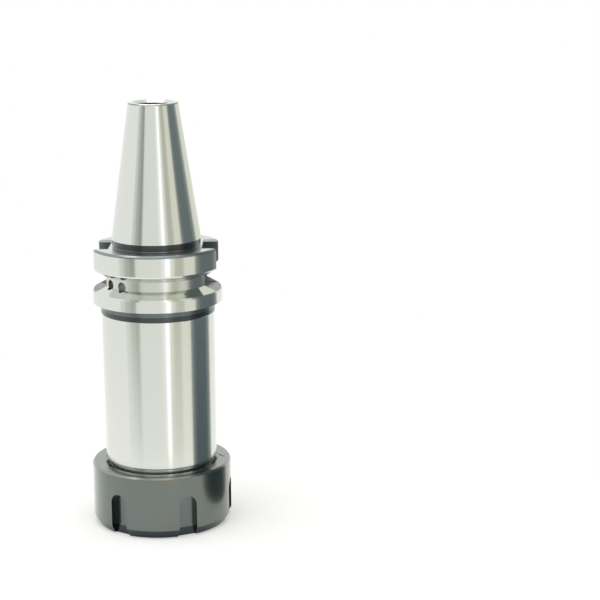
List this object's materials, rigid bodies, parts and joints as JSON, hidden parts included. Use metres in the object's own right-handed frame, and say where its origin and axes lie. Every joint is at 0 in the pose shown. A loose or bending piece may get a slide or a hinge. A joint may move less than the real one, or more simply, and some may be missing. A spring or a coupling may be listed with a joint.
{
  "type": "collet chuck holder",
  "caption": "Spring collet chuck with a steep taper shank, gripper flange with drive slots, plain round barrel and a slotted clamping nut that closes the collet on a tool shank.",
  "frame": {"origin": "on the spindle axis in the plane of the clamping nut's front face, which is the plane the chuck stands on", "axes": "+Z along the axis from the nut to the small end of the taper; +X and -X through the middles of the two drive slots"},
  "size_m": [0.05, 0.05, 0.1519],
  "materials": {
    "ground_steel": "cylindrically ground, with black oxide left in the neck, the drive slots and the collar under the flange",
    "oxide_steel": "dark oxide, semi-gloss",
    "collet_steel": "fine ground"
  },
  "bodies": {
    "holder": {"holder_body": "ground_steel"},
    "collet": {"spring_collet": "collet_steel"},
    "nut": {"clamping_nut": "oxide_steel"}
  },
  "joints": [
    {"name": "collet_slide", "type": "slide", "parent": "holder", "child": "collet", "axis": [0, 0, -1], "range_m": [0, 0.0076]},
    {"name": "nut_turn", "type": "hinge", "parent": "collet", "child": "nut", "pos_m": [0, 0, 0.01125], "axis": [0, 0, -1], "range_deg": [0, 1800]}
  ],
  "couplings": [
    {"joint": "collet_slide", "follows": "nut_turn", "m_per_rad": 0.00023873}
  ]
}
